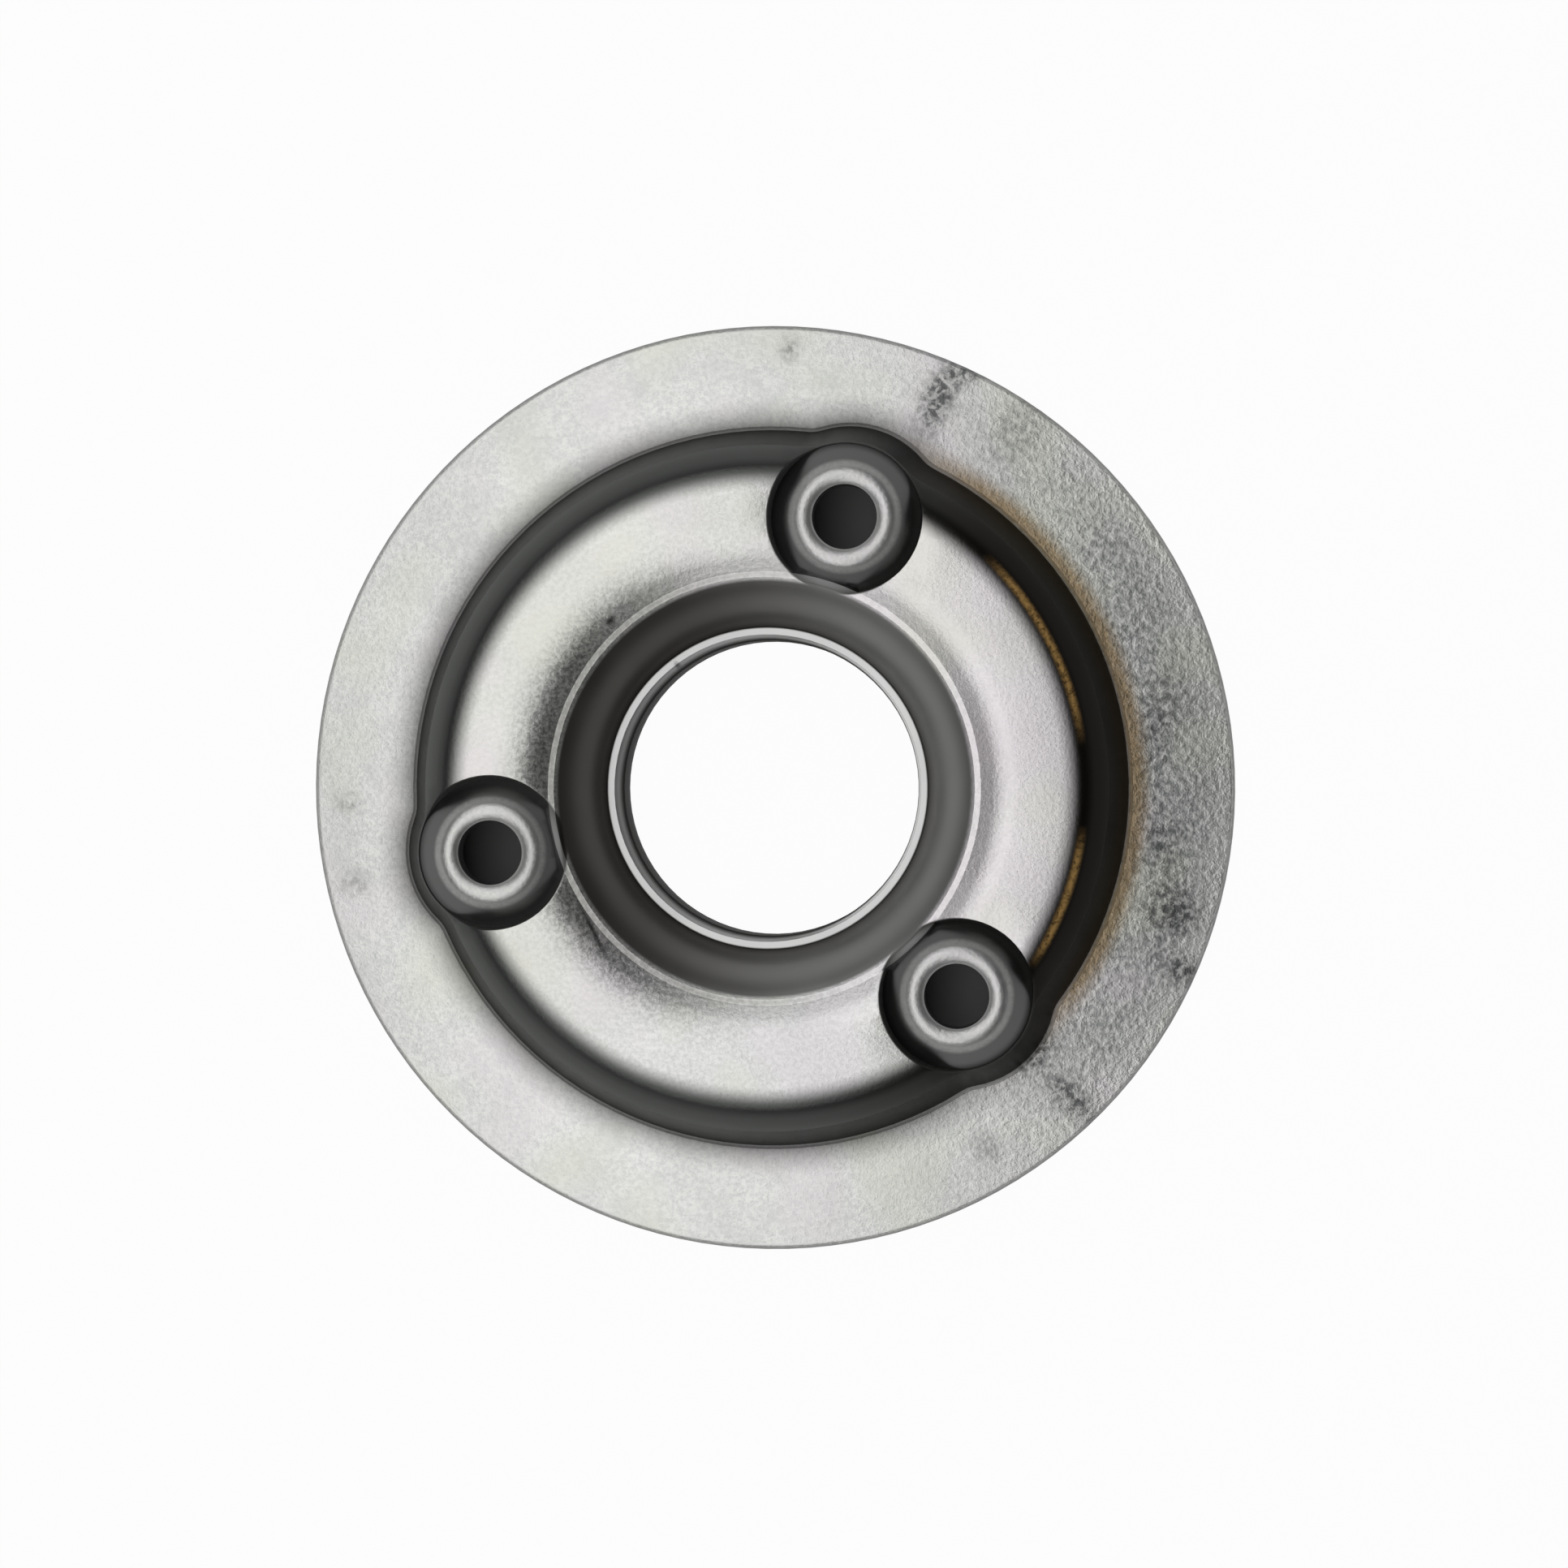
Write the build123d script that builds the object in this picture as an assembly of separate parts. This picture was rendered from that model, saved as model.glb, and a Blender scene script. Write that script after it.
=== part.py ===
"""Brush cutter clamp flange: one steel pressing, drawn from even sheet like a low hat.

The brim lies flat at the bottom. A drafted wall rises from it to a crown that swells into a lobe
round each bolt hole. On the crown stand three arc-shaped pads, with a collared bolt hole in each
gap between them, and a funnel in the middle leads down to the drawn collar of the bore.

The origin is on the bore's axis in the plane of the brim's underside, +Z points out through the
crown and the first bolt hole lies on +Y. All sizes are in millimetres and degrees.
"""

import os
from math import atan2, cos, radians, sin, tan

from build123d import *

# Sheet and brim
sheet = 2.0
rim_diameter = 80.0
rim_break = 0.3

# Drawn wall up to the crest, where the crown leans inwards
shoulder_margin = 5.2
wall_rise = 5.3
wall_draft = 19.0
foot_break = 0.25
bend_break = 1.2
bend_draft = 55.0
lobe_radius = 6.5
lobe_blend = 5.0

# Raised pads, with a round gap between them at each bolt hole
pad_rise = 1.55
pad_draft = 50.0
pad_edge_fillet = 2.6
pad_roll_width = 3.3
gap_radius = 6.35
gap_draft = 10.0

# Bolt holes with drawn collars
bolt_circle = 48.0
bolt_count = 3
bolt_hole = 5.5
first_bolt_angle = 90.0
collar_wall = 1.75
collar_rim_break = 0.3
hole_rim_break = 0.25
hole_mouth_break = 0.9

# Funnel and bore
ridge_radius = 18.2
ridge_width = 0.5
ridge_drop = 0.8
funnel_start = 22.0
lip_height = 4.5
lip_width = 1.1
lip_break = 0.5
bore_diameter = 25.4
bore_collar_wall = 1.8
bore_collar_lift = 0.3

# Levels, radii and slopes that follow from the driving dimensions
brim_top = sheet
crest_top = brim_top + wall_rise
crest_under = crest_top - sheet
pad_top = crest_top + pad_rise
pad_under = pad_top - sheet
ridge_top = pad_top - ridge_drop
rim_radius = rim_diameter / 2
bolt_radius = bolt_circle / 2
shoulder_radius = bolt_radius + shoulder_margin
bore_radius = bore_diameter / 2
lip_radius = bore_radius + lip_width
hole_radius = bolt_hole / 2
collar_radius = hole_radius + collar_wall
ridge_outer = ridge_radius + ridge_width / 2
ridge_inner = ridge_radius - ridge_width / 2
pad_roll_start = ridge_outer + pad_roll_width
wall_slope = tan(radians(wall_draft))
pad_slope = tan(radians(pad_draft))
funnel_angle = atan2(ridge_top - lip_height, ridge_inner - lip_radius)

# Depth by which joined pieces run into each other, and cuts run clear
bite = 0.5
through = 4 * pad_top
standing = (Align.CENTER, Align.CENTER, Align.MIN)


def bolt_places() -> PolarLocations:
    """The axes of the bolt holes, evenly round the bolt circle."""
    return PolarLocations(bolt_radius, bolt_count, start_angle=first_bolt_angle)


def at_bolts(piece: Part) -> list[Part]:
    """A copy of a piece on each bolt hole's axis."""
    return [place * piece for place in bolt_places()]


def section(*lines: Wire | Edge) -> Face:
    """The face inside joined lines, which are drawn as (radius, height), in the XZ plane."""
    return Plane.XZ * make_face(lines)


def turned(*corners: tuple[float, float]) -> Part:
    """A solid turned about Z from the (radius, height) corners of its section."""
    return revolve(section(Polyline(*corners, close=True)), Axis.Z)


def lobed_block(bottom: float, top: float, draft: float, inset: float) -> Part:
    """A block with a lobe round each bolt hole, drafted, whose foot lies inside the shoulder."""
    plan = Circle(shoulder_radius - inset) + at_bolts(Circle(lobe_radius - inset))
    plan = fillet(plan.vertices(), lobe_blend + inset)
    return Pos(0, 0, bottom) * extrude(plan, top - bottom, taper=draft)


def hat() -> Part:
    """The brim and the solid crown, with a steep wall below its crest and a flank above."""
    brim = turned(
        (0, 0),
        (rim_radius - rim_break, 0),
        (rim_radius, rim_break),
        (rim_radius, brim_top - rim_break),
        (rim_radius - rim_break, brim_top),
        (0, brim_top),
    )
    flank = lobed_block(crest_top - bite, pad_top, pad_draft, -bite * pad_slope)
    flank = fillet(flank.edges().filter_by_position(Axis.Z, pad_top, pad_top), pad_edge_fillet)
    above = Pos(0, 0, crest_top - bite) * Cylinder(rim_radius, pad_rise + 2 * bite, align=standing)
    crown = lobed_block(brim_top, pad_top, wall_draft, -wall_rise * wall_slope) - (above - flank)
    hat = brim + crown
    rim_to_foot = hat.edges().filter_by_position(Axis.Z, brim_top, brim_top).sort_by(SortBy.LENGTH)
    return chamfer(rim_to_foot[:-1], foot_break)


def dish() -> Part:
    """What the crown lacks above its roll, which leads from the pads down to the ridge."""
    above = pad_top + bite
    roll = TangentArc((pad_roll_start, pad_top), (ridge_outer, ridge_top), tangent=(-1, 0))
    rest = Polyline(
        (ridge_outer, ridge_top),
        (0, ridge_top),
        (0, above),
        (pad_roll_start, above),
        (pad_roll_start, pad_top),
    )
    return revolve(section(roll, rest), Axis.Z)


def ridge() -> Part:
    """The core below the ridge, which also stands in the gaps between the pads."""
    buried = crest_top - bite
    foot = ridge_outer + (ridge_top - buried) * tan(radians(gap_draft))
    return turned((0, buried), (foot, buried), (ridge_outer, ridge_top), (0, ridge_top))


def pad_gap() -> Part:
    """The drafted round gap in the pads at a bolt hole, on its own axis, down to the crest."""
    height = pad_top + bite - crest_top
    mouth = gap_radius + height * tan(radians(gap_draft))
    return Pos(0, 0, crest_top) * Cone(gap_radius, mouth, height, align=standing)


def bolt_collar() -> Part:
    """A drawn collar on its own axis, still solid, flaring out to the foot of the gap's wall."""
    buried = crest_top - bite
    return turned(
        (0, buried),
        (gap_radius, buried),
        (gap_radius, crest_top),
        (collar_radius, pad_top - collar_rim_break),
        (collar_radius - collar_rim_break, pad_top),
        (0, pad_top),
    )


def bolt_hole_cut() -> Part:
    """What a bolt hole takes away on its own axis, with its eased rim and its flared mouth below."""
    above = pad_top + bite
    below = crest_under - bite
    return turned(
        (0, below),
        (hole_radius + hole_mouth_break, below),
        (hole_radius + hole_mouth_break, crest_under),
        (hole_radius, crest_under + hole_mouth_break),
        (hole_radius, pad_top - hole_rim_break),
        (hole_radius + hole_rim_break, pad_top),
        (hole_radius + hole_rim_break, above),
        (0, above),
    )


def throat() -> Part:
    """What the rounded funnel and the bore take away, down through the sheet."""
    above = pad_top + bite
    start = Vector(1, 0).rotate(Axis.Z, 180 + funnel_start)
    funnel = TangentArc((ridge_inner, ridge_top), (lip_radius, lip_height), tangent=start)
    rest = Polyline(
        (lip_radius, lip_height),
        (bore_radius + lip_break, lip_height),
        (bore_radius, lip_height - lip_break),
        (bore_radius, -bite),
        (0, -bite),
        (0, above),
        (ridge_inner, above),
        (ridge_inner, ridge_top),
    )
    return revolve(section(funnel, rest), Axis.Z)


def hub() -> Part:
    """The outside of the bore's collar and of the funnel, which stands in the hollow underside."""

    def funnel_radius(height: float) -> float:
        return lip_radius + (height - lip_height) / tan(funnel_angle) + sheet / sin(funnel_angle)

    collar_outer = bore_radius + bore_collar_wall
    bend = lip_height - (lip_radius + sheet / sin(funnel_angle) - collar_outer) * tan(funnel_angle)
    above = pad_under + bite
    return turned(
        (0, bore_collar_lift),
        (collar_outer, bore_collar_lift),
        (collar_outer, bend),
        (funnel_radius(above), above),
        (0, above),
    )


def hollow() -> Part:
    """What the underside lacks, a sheet's thickness below the crown and the pads."""
    buried = crest_under - bite
    bend_height = bend_break / (tan(radians(bend_draft)) - wall_slope)
    wall_inset = sheet / cos(radians(wall_draft)) - crest_top * wall_slope
    flank_inset = sheet / cos(radians(pad_draft)) - (crest_top - buried) * pad_slope
    trough = lobed_block(0, crest_under, wall_draft, wall_inset)
    trough += lobed_block(0, bend_height, bend_draft, wall_inset - bend_break)
    recess = lobed_block(0, pad_under, wall_draft, wall_inset)
    recess &= lobed_block(buried, pad_under, pad_draft, flank_inset)
    recess -= at_bolts(Cylinder(gap_radius + sheet, through))
    return trough + recess - hub()


def clamp_flange() -> Part:
    """The whole pressing."""
    flange = hat() - dish() - at_bolts(pad_gap()) + ridge()
    flange -= throat()
    flange += at_bolts(bolt_collar())
    flange -= hollow()
    return flange - at_bolts(bolt_hole_cut())


if __name__ == "__main__":
    os.makedirs("parts", exist_ok=True)
    export_step(clamp_flange(), "parts/clamp_flange.step")
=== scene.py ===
"""Studio picture of a pressed steel clamp flange with a mottled zinc finish.

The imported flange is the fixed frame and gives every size. Lengths are in metres, except in the
finish, which works in millimetres. Places on the flange are given along the picture's own axes,
right and up, which are turned about the bore from the flange's X and Y.
"""

import logging
from dataclasses import dataclass
from enum import Enum
from math import cos, pi, radians, sin, sqrt

import bpy
from mathutils import Matrix, Vector


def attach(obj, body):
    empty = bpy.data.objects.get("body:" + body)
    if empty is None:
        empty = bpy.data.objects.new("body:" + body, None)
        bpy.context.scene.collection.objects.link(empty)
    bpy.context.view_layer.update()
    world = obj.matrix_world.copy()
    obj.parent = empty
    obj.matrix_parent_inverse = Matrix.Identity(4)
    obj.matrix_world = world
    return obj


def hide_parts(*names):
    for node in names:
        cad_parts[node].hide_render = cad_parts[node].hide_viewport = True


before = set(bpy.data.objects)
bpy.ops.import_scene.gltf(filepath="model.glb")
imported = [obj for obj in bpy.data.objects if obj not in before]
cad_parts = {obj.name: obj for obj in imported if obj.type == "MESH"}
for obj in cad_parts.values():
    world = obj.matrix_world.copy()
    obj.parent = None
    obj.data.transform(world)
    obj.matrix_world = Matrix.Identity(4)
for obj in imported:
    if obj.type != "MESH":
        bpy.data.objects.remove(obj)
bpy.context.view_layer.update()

LOG = logging.getLogger("clamp_flange")
MM_PER_METRE = 1000.0
METRES_PER_MM = 0.001
ANY_HEIGHT = 1000.0
PICTURE_TURN = radians(16.8)

Colour = tuple[float, float, float, float]


class Node(Enum):
    """The kinds of shader node that the finishes are made of."""

    BACKGROUND = "ShaderNodeBackground"
    BUMP = "ShaderNodeBump"
    CLEAR = "ShaderNodeBsdfTransparent"
    COORDINATES = "ShaderNodeTexCoord"
    GEOMETRY = "ShaderNodeNewGeometry"
    GLOW = "ShaderNodeEmission"
    MAPPING = "ShaderNodeMapping"
    MATHS = "ShaderNodeMath"
    MATT = "ShaderNodeBsdfDiffuse"
    METAL = "ShaderNodeBsdfPrincipled"
    MIX = "ShaderNodeMix"
    MIX_SHADER = "ShaderNodeMixShader"
    NOISE = "ShaderNodeTexNoise"
    OUTPUT = "ShaderNodeOutputMaterial"
    RANGE = "ShaderNodeMapRange"
    RAY = "ShaderNodeLightPath"
    SPLIT = "ShaderNodeSeparateXYZ"
    VECTOR_MATHS = "ShaderNodeVectorMath"
    WORLD_OUTPUT = "ShaderNodeOutputWorld"


class Signal:
    """One value in a shader, on which Python arithmetic adds Math nodes."""

    def __init__(self, graph: "ShaderGraph", socket: bpy.types.NodeSocket) -> None:
        """Wraps an output socket of a graph.

        Args:
            graph: The graph that the socket is in.
            socket: The output socket that carries the value.
        """
        self.graph = graph
        self.socket = socket

    def output(self, name: str) -> "Signal":
        """Another output of the same node."""
        return Signal(self.graph, self.socket.node.outputs[name])

    def maths(self, operation: str, *values: "Signal | float") -> "Signal":
        """A Math node on this value and others.

        Args:
            operation: The node's operation.
            values: Its further inputs, in order.

        Returns:
            The node's result.
        """
        inputs = dict(enumerate((self, *values)))
        return self.graph.add(Node.MATHS, {"operation": operation}, inputs)

    def __add__(self, other: "Signal | float") -> "Signal":
        """The sum."""
        return self.maths("ADD", other)

    __radd__ = __add__

    def __mul__(self, other: "Signal | float") -> "Signal":
        """The product."""
        return self.maths("MULTIPLY", other)

    __rmul__ = __mul__

    def __sub__(self, other: "Signal | float") -> "Signal":
        """The difference."""
        return self.maths("SUBTRACT", other)

    def __rsub__(self, other: float) -> "Signal":
        """A number less this value."""
        return self.maths("MULTIPLY_ADD", -1.0, other)

    def __truediv__(self, other: "Signal | float") -> "Signal":
        """The quotient."""
        return self.maths("DIVIDE", other)

    def __pow__(self, other: float) -> "Signal":
        """This value raised to a number."""
        return self.maths("POWER", other)

    def rise(self, low: float, high: float) -> "Signal":
        """A smooth step up.

        Args:
            low: Where the step leaves 0.
            high: Where it reaches 1.

        Returns:
            0 below low and 1 above high.
        """
        inputs = {"Value": self, "From Min": low, "From Max": high}
        return self.graph.add(Node.RANGE, {"interpolation_type": "SMOOTHSTEP"}, inputs)

    def fall(self, low: float, high: float) -> "Signal":
        """A smooth step down, 1 below low and 0 above high."""
        return 1.0 - self.rise(low, high)

    def band(self, middle: float, half: float) -> "Signal":
        """1 at a middle value, fading to 0 half a width away on both sides."""
        return (self - middle).maths("ABSOLUTE").fall(0.0, half)


class ShaderGraph:
    """A material's or the world's nodes, added one at a time."""

    def __init__(self, owner: bpy.types.Material | bpy.types.World) -> None:
        """Empties the owner's node tree.

        Args:
            owner: The material or world whose nodes these are.
        """
        owner.use_nodes = True
        self.tree = owner.node_tree
        self.tree.nodes.clear()

    def add(
        self,
        kind: Node,
        settings: dict[str, object] | None = None,
        inputs: dict[str | int, object] | None = None,
        output: str | int = 0,
    ) -> Signal | None:
        """Adds one node.

        Args:
            kind: The node's kind.
            settings: Its own properties, set before its inputs.
            inputs: Values or signals for its input sockets.
            output: The output to return.

        Returns:
            That output of the new node, or nothing for a node that ends the graph.
        """
        node = self.tree.nodes.new(kind.value)
        for name, value in (settings or {}).items():
            setattr(node, name, value)
        for name, value in (inputs or {}).items():
            if isinstance(value, Signal):
                self.tree.links.new(value.socket, node.inputs[name])
            else:
                node.inputs[name].default_value = value
        return Signal(self, node.outputs[output]) if node.outputs else None

    def end(self, kind: Node, shader: Signal) -> None:
        """Ends the graph in an output node."""
        self.add(kind, None, {"Surface": shader})

    def blend(self, share: Signal, first: Signal | Colour, second: Signal | Colour) -> Signal:
        """Mixes two colours.

        Args:
            share: The share of the second colour.
            first: The colour at 0.
            second: The colour at 1.

        Returns:
            The mixed colour.
        """
        inputs = {0: share, 6: first, 7: second}
        return self.add(Node.MIX, {"data_type": "RGBA"}, inputs, output=2)


@dataclass(frozen=True)
class Mark:
    """An oval patch on the flange, in millimetres along the picture's axes."""

    right: float
    up: float
    bearing: float
    length: float
    width: float
    depth: float = 1.0

    def mask(self, place: Signal) -> Signal:
        """How strongly the mark shows.

        Args:
            place: The place on the flange, in millimetres along the picture's axes.

        Returns:
            The mark's depth at its middle, fading to 0 at its edge.
        """
        inputs = {
            "Vector": place,
            "Location": (self.right, self.up, 0.0),
            "Rotation": (0.0, 0.0, radians(self.bearing)),
            "Scale": (self.length / 2, self.width / 2, ANY_HEIGHT),
        }
        graph = place.graph
        local = graph.add(Node.MAPPING, {"vector_type": "TEXTURE"}, inputs)
        away = graph.add(Node.VECTOR_MATHS, {"operation": "LENGTH"}, {0: local}, output="Value")
        return away.fall(0.0, 1.0) * self.depth

    @staticmethod
    def all_masks(marks: tuple["Mark", ...], place: Signal) -> Signal:
        """The sum of several marks.

        Args:
            marks: The marks.
            place: The place on the flange, in millimetres along the picture's axes.

        Returns:
            How strongly they show together.
        """
        total = marks[0].mask(place)
        for mark in marks[1:]:
            total = total + mark.mask(place)
        return total


@dataclass(frozen=True)
class FlangeLevels:
    """Heights and radii on the flange, in millimetres, that its finish follows."""

    rim_radius: float = 40.0
    brim: float = 2.0
    crest: float = 7.3
    pad: float = 8.85
    ridge: float = 8.05
    lip: float = 4.5
    foot_radius: float = 31.2
    foot_reach: float = 2.8
    lobe_radius: float = 8.6
    pad_edge: float = 27.0
    roll_end: float = 23.0
    ridge_radius: float = 18.2
    lip_radius: float = 13.8
    bore_radius: float = 12.7
    bolt_radius: float = 24.0
    bolt_bearings: tuple[float, ...] = (73.2, 193.2, 313.2)
    gap_radius: float = 6.6
    collar_radius: float = 4.5


SMEARS = (
    Mark(14.6, 33.6, 66.0, 11.0, 4.6, 1.0),
    Mark(17.6, 36.6, 60.0, 6.5, 4.4, 1.0),
    Mark(21.5, 31.0, 52.0, 9.0, 7.0, 0.45),
    Mark(1.7, 38.0, 88.0, 4.0, 3.0, 0.45),
    Mark(34.6, -10.6, -20.0, 8.0, 6.5, 1.0),
    Mark(35.4, -15.6, -24.0, 7.0, 4.6, 0.8),
    Mark(33.4, 5.6, 80.0, 17.0, 5.5, 0.5),
    Mark(33.6, -4.6, 98.0, 13.0, 5.5, 0.6),
    Mark(26.0, -26.5, -46.0, 10.0, 4.4, 0.8),
    Mark(22.8, -22.8, 45.0, 8.0, 4.0, 1.0),
    Mark(-36.4, -8.4, 193.0, 5.0, 4.0, 0.35),
    Mark(-37.0, -1.4, 182.0, 4.5, 3.6, 0.3),
    Mark(18.8, -31.0, -59.0, 5.0, 3.4, 0.4),
)


SCARS = (
    Mark(-13.0, 14.3, 40.0, 1.6, 0.9, 0.9),
    Mark(-7.6, 10.4, 128.0, 1.7, 0.8, 0.9),
    Mark(-17.2, -4.6, 98.0, 8.0, 0.6, 0.8),
    Mark(-14.6, -12.0, 118.0, 9.0, 0.6, 0.8),
)


@dataclass(frozen=True)
class FlangePlace:
    """Where a point lies on the flange, in millimetres along the picture's axes."""

    vector: Signal
    right: Signal
    up: Signal
    height: Signal
    radius: Signal

    @classmethod
    def on(cls, graph: ShaderGraph) -> "FlangePlace":
        """Reads the place in a graph.

        Args:
            graph: The graph to add the nodes to.

        Returns:
            The place.
        """
        metres = graph.add(Node.COORDINATES, output="Object")
        turn = {
            "Vector": metres,
            "Rotation": (0.0, 0.0, -PICTURE_TURN),
            "Scale": (MM_PER_METRE, MM_PER_METRE, MM_PER_METRE),
        }
        vector = graph.add(Node.MAPPING, None, turn)
        right = graph.add(Node.SPLIT, None, {"Vector": vector})
        up = right.output("Y")
        return cls(vector, right, up, right.output("Z"), (right * right + up * up) ** 0.5)

    def facing(self, bearing: float) -> Signal:
        """The cosine of the angle between a bearing in degrees and this place, from the bore."""
        bearing = radians(bearing)
        return (self.right * cos(bearing) + self.up * sin(bearing)) / self.radius

    def from_bolt(self, levels: FlangeLevels) -> Signal:
        """How far the place is from the axis of the nearest bolt hole.

        Args:
            levels: The flange's heights and radii.

        Returns:
            The distance in plan.
        """
        nearest: Signal | None = None
        for bearing in levels.bolt_bearings:
            across = self.right - levels.bolt_radius * cos(radians(bearing))
            along = self.up - levels.bolt_radius * sin(radians(bearing))
            distance = (across * across + along * along) ** 0.5
            nearest = distance if nearest is None else nearest.maths("MINIMUM", distance)
        return nearest


@dataclass(frozen=True)
class Blotches:
    """A cloudy noise, by its blotches in a millimetre and its finer layers' number and strength."""

    per_mm: float
    layers: float
    strength: float

    def on(self, place: FlangePlace) -> Signal:
        """The noise at a place.

        Args:
            place: The place on the flange.

        Returns:
            A value around 0.5.
        """
        inputs = {
            "Vector": place.vector,
            "Scale": self.per_mm,
            "Detail": self.layers,
            "Roughness": self.strength,
        }
        return place.vector.graph.add(Node.NOISE, None, inputs)


@dataclass(frozen=True)
class FlangeZones:
    """The flange's faces, each 1 on its face and 0 away from it."""

    brim: Signal
    pad: Signal
    shown: Signal
    collar: Signal
    foot: Signal
    bore: Signal

    @classmethod
    def on(cls, place: FlangePlace, bolt: Signal, levels: FlangeLevels) -> "FlangeZones":
        """Finds the faces.

        Args:
            place: The place on the flange.
            bolt: How far it is from the nearest bolt hole's axis.
            levels: The flange's heights and radii.

        Returns:
            The zones.
        """
        brim = place.height.fall(levels.brim + 0.05, levels.brim + 0.4)
        roll = place.height.rise(levels.ridge - 0.2, levels.ridge - 0.05)
        roll = roll * place.radius.fall(levels.roll_end, levels.roll_end + 1.0)
        roll = roll * bolt.rise(levels.gap_radius - 0.1, levels.gap_radius + 0.1)
        pad = place.height.rise(levels.pad - 0.35, levels.pad - 0.04).maths("MAXIMUM", roll)
        ring = bolt.fall(levels.collar_radius, levels.collar_radius + 0.3)
        # Painted shade: the pads' outer edge fades to the drawn faces' dark colour.
        inside = place.radius.fall(levels.pad_edge - 1.9, levels.pad_edge)
        shown = brim + pad * inside.maths("MAXIMUM", ring)
        collar = bolt.fall(levels.collar_radius + 0.1, levels.collar_radius + 0.5)
        collar = collar * place.height.rise(levels.crest + 0.5, levels.pad - 0.3)
        # The foot mask is where the painted shade next to the wall's foot goes.
        outside = (place.radius - levels.foot_radius).maths("MINIMUM", bolt - levels.lobe_radius)
        foot = ((levels.foot_reach - outside) / levels.foot_reach).maths("MAXIMUM", 0.0) ** 1.5
        bore = place.height.fall(levels.lip - 0.45, levels.lip - 0.1)
        bore = bore * place.radius.fall(levels.bore_radius + 0.2, levels.bore_radius + 0.5)
        return cls(brim, pad, shown, collar, foot * brim, bore)


@dataclass(frozen=True)
class ZincFinish:
    """Zinc plating: mottled on the flat rolled faces and smoother where it was drawn; the drawn
    faces' darker colours are painted shade.
    """

    name: str = "zinc_plated_steel"
    brim_pale: Colour = (0.87, 0.87, 0.845, 1.0)
    brim_grey: Colour = (0.70, 0.71, 0.69, 1.0)
    pad_pale: Colour = (0.86, 0.855, 0.85, 1.0)
    pad_grey: Colour = (0.70, 0.70, 0.69, 1.0)
    # Painted shade: the colour the right-hand side of the brim darkens to.
    brim_painted_shade: Colour = (0.33, 0.34, 0.335, 1.0)
    # Painted shade: the wall, flank and gap colours are dark to stand in for the shade on the drawn
    # faces.
    wall: Colour = (0.085, 0.088, 0.084, 1.0)
    flank: Colour = (0.10, 0.104, 0.099, 1.0)
    gap: Colour = (0.20, 0.203, 0.198, 1.0)
    # Painted shade: the collar rings' greyer colour.
    collar: Colour = (0.58, 0.58, 0.57, 1.0)
    # Painted shade and light: the funnel is darker on its left side than on its right.
    funnel_left: Colour = (0.13, 0.123, 0.115, 1.0)
    funnel_right: Colour = (0.34, 0.34, 0.332, 1.0)
    # Painted shade: the colour the ridge line is darkened to.
    ridge: Colour = (0.34, 0.335, 0.32, 1.0)
    # This black serves the scars and painted shade: the bore's wall, the band round the lip, the
    # right-hand walls and the brim at the wall's foot.
    scar_and_shade_black: Colour = (0.022, 0.02, 0.018, 1.0)
    lip: Colour = (0.62, 0.62, 0.615, 1.0)
    # This grey serves the brim's stains and sheared rim, and the painted shade on the pads' inner
    # roll.
    stain_and_shade: Colour = (0.13, 0.135, 0.133, 1.0)
    white: Colour = (0.95, 0.95, 0.94, 1.0)
    pink: Colour = (0.84, 0.775, 0.81, 1.0)
    straw: Colour = (0.79, 0.80, 0.70, 1.0)
    # Painted reflection: the warm tan at the brim's inner edge on the right.
    painted_tan_reflection: Colour = (0.34, 0.25, 0.14, 1.0)
    # Painted reflection: the warm amber on the right-hand shoulder.
    painted_amber_reflection: Colour = (0.75, 0.45, 0.15, 1.0)
    peel: Blotches = Blotches(2.7, 4.0, 0.72)
    grain: Blotches = Blotches(1.5, 3.0, 0.6)
    patches: Blotches = Blotches(0.35, 3.0, 0.6)
    clouds: Blotches = Blotches(0.16, 2.0, 0.5)
    tints: Blotches = Blotches(0.11, 1.0, 0.4)
    flat_roughness: float = 0.34
    drawn_roughness: float = 0.32
    bore_roughness: float = 0.5
    cloud_roughness: float = 0.12
    peel_depth: float = 0.030
    drawn_peel_depth: float = 0.003
    grain_depth: float = 0.07
    wave_depth: float = 0.05
    # How strong the painted shade next to the wall's foot is.
    foot_darkness: float = 0.75
    amber_dullness: float = 0.5

    def material(self, levels: FlangeLevels) -> bpy.types.Material:
        """Makes the finish.

        Args:
            levels: The flange's heights and radii.

        Returns:
            The material.
        """
        made = bpy.data.materials.new(self.name)
        graph = ShaderGraph(made)
        place = FlangePlace.on(graph)
        bolt = place.from_bolt(levels)
        zones = FlangeZones.on(place, bolt, levels)
        peel = self.peel.on(place)
        grain = self.grain.on(place)
        clouds = self.clouds.on(place)
        painted_amber_reflection = self.amber_reflection_mask(place, levels, peel)
        sheet = self.sheet_colour(graph, place, levels, zones, peel, grain)
        drawn = self.drawn_colour(graph, place, levels, bolt)
        colour = graph.blend(zones.shown, drawn, sheet)
        # Painted shade: the collars are given a greyer colour than the pads.
        colour = graph.blend(zones.collar * (1.2 - peel), colour, self.collar)
        # Painted reflection: warm amber on the shoulder outside the right-hand pad, also made less
        # metallic.
        colour = graph.blend(painted_amber_reflection, colour, self.painted_amber_reflection)
        # Painted shade: the brim is darkened towards black next to the wall's foot, except on the
        # right.
        painted_shade = place.facing(185.0).rise(-0.75, -0.3) * self.foot_darkness
        colour = graph.blend(zones.foot * painted_shade, colour, self.scar_and_shade_black)
        scars = Mark.all_masks(SCARS, place.vector)
        scars = scars * place.height.rise(levels.lip - 0.4, levels.lip)
        colour = graph.blend(scars, colour, self.scar_and_shade_black)
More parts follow.
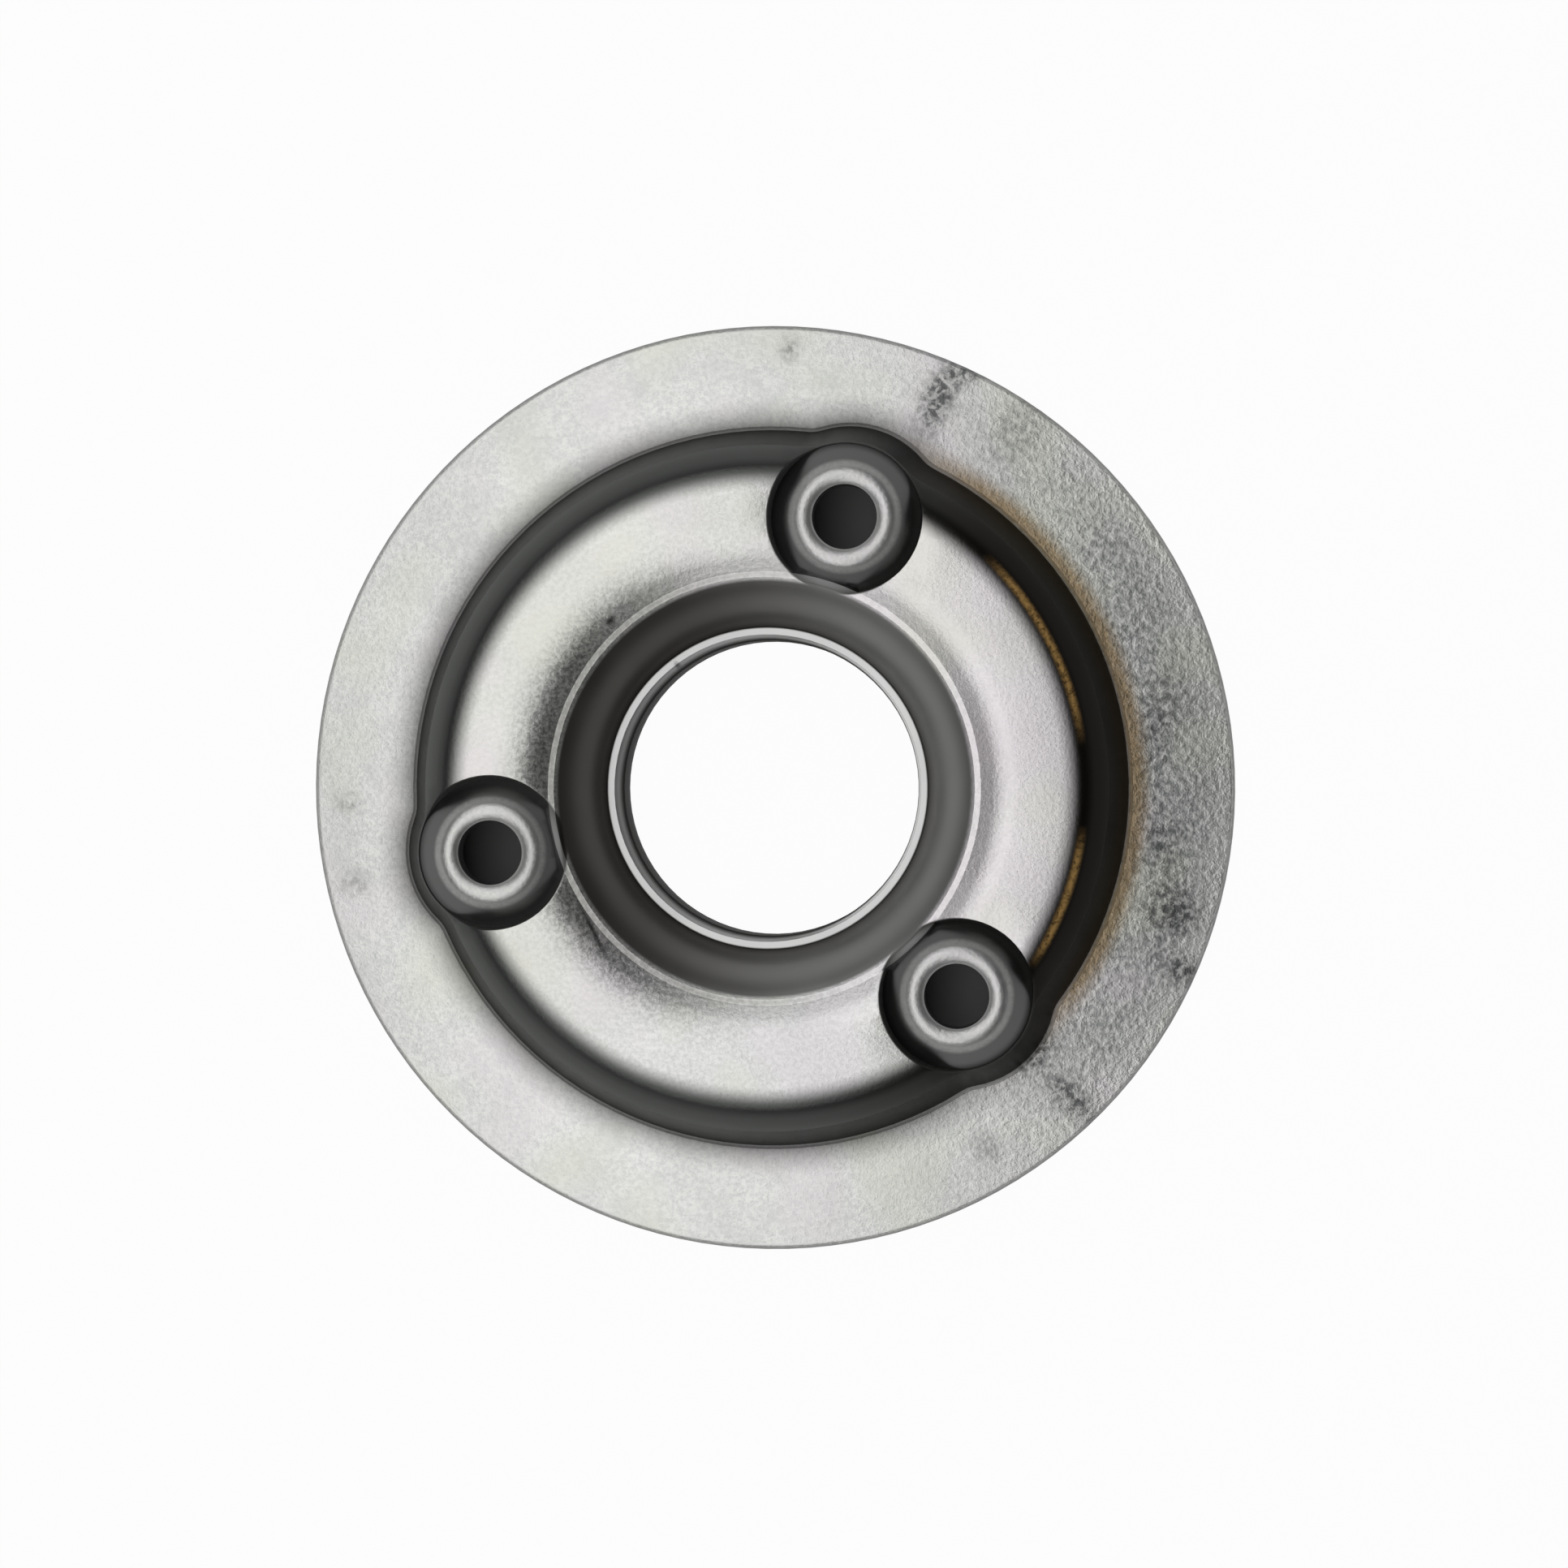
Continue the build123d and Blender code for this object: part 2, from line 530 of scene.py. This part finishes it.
        # Painted shade: the bore's wall is black, matt and not metallic.
        colour = graph.blend(zones.bore, colour, self.scar_and_shade_black)
        flat = zones.brim + zones.pad
        roughness = self.drawn_roughness + flat * (self.flat_roughness - self.drawn_roughness)
        roughness = roughness + (clouds - 0.5) * self.cloud_roughness
        roughness = roughness + zones.bore * self.bore_roughness
        relief = peel * (flat * self.peel_depth + self.drawn_peel_depth) + clouds * self.wave_depth
        coarse = place.facing(0.0).rise(0.1, 0.8) * zones.brim * self.grain_depth
        bump = {"Strength": 1.0, "Distance": METRES_PER_MM, "Height": relief + grain * coarse}
        shader = {
            "Base Color": colour,
            "Metallic": 1.0 - zones.bore.maths("MAXIMUM", painted_amber_reflection * self.amber_dullness),
            "Roughness": roughness,
            "Normal": graph.add(Node.BUMP, None, bump),
        }
        graph.end(Node.OUTPUT, graph.add(Node.METAL, None, shader))
        return made

    def amber_reflection_mask(self, place: FlangePlace, levels: FlangeLevels, peel: Signal) -> Signal:
        """A painted warm reflection on the shoulder outside the right-hand pad.

        Args:
            place: The place on the flange.
            levels: The flange's heights and radii.
            peel: The fine relief of the plating.

        Returns:
            1 where the painted reflection is strongest.
        """
        streak = place.radius.band(levels.pad_edge + 0.2, 0.5)
        streak = streak * place.height.rise(levels.crest + 0.5, levels.crest + 0.8)
        upper = place.facing(27.0).rise(0.94, 0.985)
        lower = place.facing(-20.0).rise(0.97, 0.995)
        return streak * upper.maths("MAXIMUM", lower) * peel.rise(0.2, 0.6)

    def sheet_colour(
        self,
        graph: ShaderGraph,
        place: FlangePlace,
        levels: FlangeLevels,
        zones: FlangeZones,
        peel: Signal,
        grain: Signal,
    ) -> Signal:
        """The colour of the flat faces, with their mottle, tints and stains, painted shade on the
        brim's right, the pads' inner roll and the ridge, and a painted tan reflection.

        Args:
            graph: The material's graph.
            place: The place on the flange.
            levels: The flange's heights and radii.
            zones: The flange's faces.
            peel: The fine relief of the plating.
            grain: Its coarser relief.

        Returns:
            The colour.
        """
        speckle = peel.rise(0.34, 0.64)
        dark_grain = grain.fall(0.36, 0.62)
        brim = graph.blend(speckle, self.brim_grey, self.brim_pale)
        patches = self.patches.on(place)
        brim = graph.blend(patches.rise(0.45, 0.7) * 0.5, brim, self.brim_grey)
        # Painted shade: the brim darkens towards its right-hand side, broken up by the coarse
        # grain.
        brim_painted_shade = place.facing(5.0).rise(0.35, 0.95) * (0.25 + dark_grain * 0.75)
        brim_painted_shade = brim_painted_shade * place.radius.fall(levels.rim_radius - 4.0, levels.rim_radius)
        brim = graph.blend(brim_painted_shade, brim, self.brim_painted_shade)
        pad = graph.blend(speckle, self.pad_grey, self.pad_pale)
        pad = graph.blend(place.facing(15.0).rise(0.0, 0.8) * 0.45, pad, self.pink)
        pad = graph.blend(place.facing(165.0).rise(0.0, 0.8) * 0.35, pad, self.straw)
        colour = graph.blend(zones.pad, brim, pad)
        tints = self.tints.on(place)
        colour = graph.blend(tints.rise(0.50, 0.70) * 0.4, colour, self.pink)
        colour = graph.blend(tints.fall(0.32, 0.52) * 0.5, colour, self.straw)
        # Painted shade: the pads' inner roll is darkened on its left, broken up by the speckle.
        roll_painted_shade = place.radius.band(levels.ridge_radius + 1.0, 4.2) * zones.pad
        roll_painted_shade = roll_painted_shade * place.facing(185.0).rise(0.1, 0.75) * (1.15 - speckle * 0.7)
        colour = graph.blend(roll_painted_shade * 0.75, colour, self.stain_and_shade)
        specks = place.radius.band(levels.pad_edge - 1.3, 0.9) * zones.pad * peel.rise(0.6, 0.7)
        colour = graph.blend(specks, colour, self.white)
        smears = Mark.all_masks(SMEARS, place.vector) * zones.brim * (dark_grain + 0.35)
        colour = graph.blend(smears.maths("MINIMUM", 0.95), colour, self.stain_and_shade)
        # Painted shade: the ridge line is darkened, except on its right.
        ridge_painted_shade = place.radius.band(levels.ridge_radius, 0.55) * zones.pad
        ridge_painted_shade = ridge_painted_shade * place.facing(185.0).rise(-0.6, 0.5) * (1.3 - peel)
        colour = graph.blend(ridge_painted_shade.maths("MINIMUM", 0.9), colour, self.ridge)
        # Painted reflection: a warm tan along the brim's inner edge on the right.
        painted_tan_reflection = place.radius.band(levels.foot_radius + 0.2, 1.9) * zones.brim
        painted_tan_reflection = painted_tan_reflection * place.facing(12.0).rise(0.45, 0.8) * (0.5 + peel)
        colour = graph.blend(painted_tan_reflection.maths("MINIMUM", 0.9), colour, self.painted_tan_reflection)
        ragged = place.radius + peel * 0.5
        sheared = ragged.rise(levels.rim_radius - 0.25, levels.rim_radius + 0.15)
        return graph.blend(sheared * 0.8, colour, self.stain_and_shade)

    def drawn_colour(
        self, graph: ShaderGraph, place: FlangePlace, levels: FlangeLevels, bolt: Signal
    ) -> Signal:
        """The colour of the drawn wall, flank, gaps, funnel and lip, with painted shade on the
        wall, flank, gaps and funnel.

        Args:
            graph: The material's graph.
            place: The place on the flange.
            levels: The flange's heights and radii.
            bolt: How far the place is from the nearest bolt hole's axis.

        Returns:
            The colour.
        """
        # Painted shade: the wall and flank get their dark colours.
        above = place.height.rise(levels.crest - 0.2, levels.crest + 0.1)
        wall = graph.blend(above, self.wall, self.flank)
        # Painted shade: the walls on the right-hand side are blackened, away from the bolt collars.
        painted_shade = place.facing(0.0).rise(0.0, 0.75)
        painted_shade = painted_shade * bolt.rise(levels.collar_radius + 1.0, levels.gap_radius + 0.2)
        wall = graph.blend(painted_shade, wall, self.scar_and_shade_black)
        # Painted shade: the gaps round the bolt collars get the dark gap colour.
        gap = bolt.fall(levels.gap_radius - 1.0, levels.gap_radius)
        wall = graph.blend(gap, wall, self.gap)
        # Painted shade and light: the funnel runs from dark on the left to lighter on the right.
        rightwards = place.facing(-10.0).rise(-0.7, 0.5)
        funnel = graph.blend(rightwards, self.funnel_left, self.funnel_right)
        # Painted shade: a black band on the funnel next to the lip.
        groove = place.radius.fall(levels.lip_radius + 0.3, levels.lip_radius + 1.5) * 0.8
        funnel = graph.blend(groove, funnel, self.scar_and_shade_black)
        inside = place.radius.fall(levels.ridge_radius - 0.5, levels.ridge_radius - 0.2)
        colour = graph.blend(inside, wall, funnel)
        lip = place.radius.fall(levels.lip_radius - 0.15, levels.lip_radius + 0.05)
        return graph.blend(lip, colour, self.lip)


@dataclass(frozen=True)
class PaleFloorFinish:
    """A white floor that shows white to the camera, except in the shade below the flange."""

    name: str = "pale_floor"
    colour: Colour = (0.9, 0.9, 0.9, 1.0)
    shade_colour: Colour = (0.30, 0.30, 0.30, 1.0)
    white_share: float = 0.965
    shade_inner: float = 0.0135
    shade_outer: float = 0.0375
    shade_soft: float = 0.001

    def material(self) -> bpy.types.Material:
        """Makes the finish, which can be seen through from below.

        Returns:
            The material.
        """
        made = bpy.data.materials.new(self.name)
        graph = ShaderGraph(made)
        place = graph.add(Node.COORDINATES, output="Object")
        x = graph.add(Node.SPLIT, None, {"Vector": place})
        radius = (x * x + x.output("Y") * x.output("Y")) ** 0.5
        shade = radius.rise(self.shade_inner, self.shade_inner + self.shade_soft)
        shade = shade * radius.fall(self.shade_outer - self.shade_soft, self.shade_outer)
        ray = graph.add(Node.RAY, output="Is Camera Ray")
        seen = ray.maths("MAXIMUM", ray.output("Is Glossy Ray"))
        seen = seen.maths("MAXIMUM", ray.output("Is Transmission Ray"))
        colour = graph.blend(shade, self.colour, self.shade_colour)
        plain = graph.add(Node.MATT, None, {"Color": colour})
        white = graph.add(Node.GLOW, None, {"Strength": 1.0})
        share = seen * (1.0 - shade) * self.white_share
        top = graph.add(Node.MIX_SHADER, None, {0: share, 1: plain, 2: white})
        below = graph.add(Node.GEOMETRY, output="Backfacing")
        sides = {0: below, 1: top, 2: graph.add(Node.CLEAR)}
        graph.end(Node.OUTPUT, graph.add(Node.MIX_SHADER, None, sides))
        return made


def picture_axes() -> tuple[Vector, Vector]:
    """The picture's right and up directions in the flange's frame.

    Returns:
        The two unit vectors, both level.
    """
    right = Vector((cos(PICTURE_TURN), sin(PICTURE_TURN), 0.0))
    return right, Vector((-right.y, right.x, 0.0))


@dataclass(frozen=True)
class PhotoCamera:
    """The camera, a little off the bore's axis towards the picture's right."""

    distance: float = 0.300
    lean_right: float = radians(5.1)
    lean_up: float = radians(0.39)
    aim_right: float = 0.00106
    aim_up: float = 0.00033
    frame_px: float = 1932.0
    focal_px: float = 4243.0
    sensor_mm: float = 36.0
    nearest: float = 0.01

    def build(self) -> bpy.types.Object:
        """Adds the camera and makes it the scene's.

        Returns:
            The camera.
        """
        right, up = picture_axes()
        level = sin(self.lean_right) * right + sin(self.lean_up) * up
        back = level + Vector((0.0, 0.0, sqrt(1.0 - level.length_squared)))
        across = up.cross(back).normalized()
        turn = Matrix((across, back.cross(across), back)).transposed()
        aim = self.aim_right * right + self.aim_up * up
        bpy.ops.object.camera_add(location=aim + back * self.distance, rotation=turn.to_euler())
        camera = bpy.context.active_object
        camera.data.sensor_width = self.sensor_mm
        camera.data.lens = self.sensor_mm * self.focal_px / self.frame_px
        camera.data.clip_start = self.nearest
        bpy.context.scene.camera = camera
        return camera


@dataclass(frozen=True)
class Studio:
    """The floor, the overhead soft light and the room round them."""

    floor_size: float = 6.0
    floor_drop: float = 0.00002
    lamp_height: float = 0.6
    lamp_shift: float = -0.138
    lamp_across: float = 0.444
    lamp_along: float = 1.0
    lamp_radiance: float = 1.08
    ceiling: Colour = (0.07, 0.07, 0.07, 1.0)
    walls: Colour = (0.5, 0.5, 0.5, 1.0)
    walls_top: float = radians(38.0)
    walls_soft: float = radians(16.0)

    def build(self) -> None:
        """Adds the floor, the lamp and the world."""
        self.add_floor()
        self.add_lamp()
        self.add_room()

    def add_floor(self) -> None:
        """Adds the floor just below the brim."""
        place = (0.0, 0.0, -self.floor_drop)
        bpy.ops.mesh.primitive_plane_add(size=self.floor_size, location=place)
        floor = bpy.context.active_object
        floor.name = "floor"
        floor.data.materials.append(PaleFloorFinish().material())

    def add_lamp(self) -> None:
        """Adds the soft light, level overhead and off to the picture's left."""
        right, _ = picture_axes()
        place = self.lamp_shift * right + Vector((0.0, 0.0, self.lamp_height))
        bpy.ops.object.light_add(type="AREA", location=place, rotation=(0.0, 0.0, PICTURE_TURN))
        lamp = bpy.context.active_object.data
        lamp.shape = "RECTANGLE"
        lamp.size = self.lamp_across
        lamp.size_y = self.lamp_along
        lamp.energy = self.lamp_radiance * pi * self.lamp_across * self.lamp_along

    def add_room(self) -> None:
        """Gives the scene its world, with pale walls below a dim ceiling."""
        world = bpy.data.worlds.new("room")
        graph = ShaderGraph(world)
        way = graph.add(Node.COORDINATES, output="Generated")
        height = graph.add(Node.SPLIT, None, {"Vector": way}, output="Z")
        wall = height.fall(sin(self.walls_top - self.walls_soft), sin(self.walls_top))
        room = graph.blend(wall, self.ceiling, self.walls)
        graph.end(Node.WORLD_OUTPUT, graph.add(Node.BACKGROUND, None, {"Color": room}))
        bpy.context.scene.world = world


@dataclass(frozen=True)
class FlangeSkin:
    """The pressing as it is seen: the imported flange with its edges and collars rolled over."""

    node: str = "clamp_flange"
    name: str = "clamp_flange_skin"
    weld: float = 0.000005
    bore_reach: float = 0.0129
    bore_top: float = 0.0042
    bore_shift: float = 0.0003
    collar_reach: float = 0.0046
    collar_roll: float = 0.00042
    collar_drop: float = 0.00012
    rim_reach: float = 0.00005
    edge_roll: float = 0.00018
    edge_steps: int = 3
    edge_angle: float = radians(18.0)
    smooth_angle: float = radians(32.0)

    def build(self) -> bpy.types.Object:
        """Makes the skin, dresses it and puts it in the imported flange's place.

        Returns:
            The skin's object.
        """
        skin = self.copy_node()
        self.shift_bore(skin)
        self.round_collars(skin)
        self.roll_edges(skin)
        skin.data.materials.clear()
        skin.data.materials.append(ZincFinish().material(FlangeLevels()))
        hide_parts(self.node)
        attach(skin, "root")
        LOG.info("%s: %d faces", skin.name, len(skin.data.polygons))
        return skin

    def copy_node(self) -> bpy.types.Object:
        """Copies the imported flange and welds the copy's loose triangles.

        Returns:
            The copy.
        """
        bpy.ops.object.select_all(action="DESELECT")
        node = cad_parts[self.node]
        node.select_set(True)
        bpy.context.view_layer.objects.active = node
        bpy.ops.object.duplicate()
        skin = bpy.context.active_object
        skin.name = self.name
        skin.data.name = self.name
        for key in list(skin.keys()):
            del skin[key]
        bpy.ops.mesh.customdata_custom_splitnormals_clear()
        bpy.ops.object.mode_set(mode="EDIT")
        bpy.ops.mesh.select_all(action="SELECT")
        bpy.ops.mesh.remove_doubles(threshold=self.weld)
        bpy.ops.object.mode_set(mode="OBJECT")
        return skin

    def deselect(self) -> None:
        """Leaves nothing of the active mesh selected, with its edges and vertices ready to pick."""
        bpy.ops.object.mode_set(mode="EDIT")
        bpy.ops.mesh.select_mode(type="VERT")
        bpy.ops.mesh.select_all(action="DESELECT")
        bpy.ops.object.mode_set(mode="OBJECT")

    def shift_bore(self, skin: bpy.types.Object) -> None:
        """Moves the bore's wall a little to the picture's right, where the punch ran off centre.

        Args:
            skin: The skin's object, which is the active one.
        """
        right, _ = picture_axes()
        self.deselect()
        for vertex in skin.data.vertices:
            vertex.select = vertex.co.xy.length < self.bore_reach and vertex.co.z < self.bore_top
        bpy.ops.object.mode_set(mode="EDIT")
        bpy.ops.transform.translate(value=self.bore_shift * right)
        bpy.ops.object.mode_set(mode="OBJECT")

    def round_collars(self, skin: bpy.types.Object) -> None:
        """Rounds over the level rings on top of the bolt collars, which are drawn and not turned.

        Args:
            skin: The skin's object, which is the active one.
        """
        levels = FlangeLevels()
        top = levels.pad * METRES_PER_MM
        axes = [Vector((0.0, levels.bolt_radius * METRES_PER_MM)) for _ in levels.bolt_bearings]
        for turn, axis in enumerate(axes):
            axis.rotate(Matrix.Rotation(2 * pi * turn / len(axes), 2))
        mesh = skin.data

        def reach(index: int) -> float:
            """How far a vertex is from the nearest bolt hole's axis."""
            return min((mesh.vertices[index].co.xy - axis).length for axis in axes)

        def level(index: int) -> bool:
            """Whether a vertex lies on a collar's level ring."""
            on_top = abs(mesh.vertices[index].co.z - top) < self.weld
            return on_top and reach(index) < self.collar_reach

        self.deselect()
        for face in mesh.polygons:
            face.select = all(level(index) for index in face.vertices)
        rings = {reach(index) for face in mesh.polygons if face.select for index in face.vertices}
        rims = (min(rings), max(rings))
        bpy.ops.object.mode_set(mode="EDIT")
        bpy.ops.mesh.select_mode(type="FACE")
        bpy.ops.mesh.inset(thickness=self.collar_roll, depth=0.0)
        self.deselect()
        for vertex in mesh.vertices:
            away = min(abs(reach(vertex.index) - rim) for rim in rims)
            vertex.select = level(vertex.index) and away < self.rim_reach
        bpy.ops.object.mode_set(mode="EDIT")
        bpy.ops.transform.translate(value=(0.0, 0.0, -self.collar_drop))
        bpy.ops.object.mode_set(mode="OBJECT")
        LOG.info("collar rims rounded at %.2f and %.2f mm", *(rim * MM_PER_METRE for rim in rims))

    def roll_edges(self, skin: bpy.types.Object) -> None:
        """Rounds the skin's sharp edges and smooths what lies between them.

        Args:
            skin: The skin's object, which is the active one.
        """
        roll = skin.modifiers.new("edge_roll", "BEVEL")
        roll.width = self.edge_roll
        roll.segments = self.edge_steps
        roll.limit_method = "ANGLE"
        roll.angle_limit = self.edge_angle
        roll.use_clamp_overlap = True
        bpy.ops.object.modifier_apply(modifier=roll.name)
        bpy.ops.object.shade_smooth_by_angle(angle=self.smooth_angle, keep_sharp_edges=False)


def main() -> None:
    """Builds the picture."""
    logging.basicConfig(level=logging.INFO, format="%(name)s: %(message)s")
    bpy.context.scene.view_settings.view_transform = "Standard"
    FlangeSkin().build()
    bpy.ops.object.select_all(action="DESELECT")
    Studio().build()
    PhotoCamera().build()


if __name__ == "__main__":
    main()
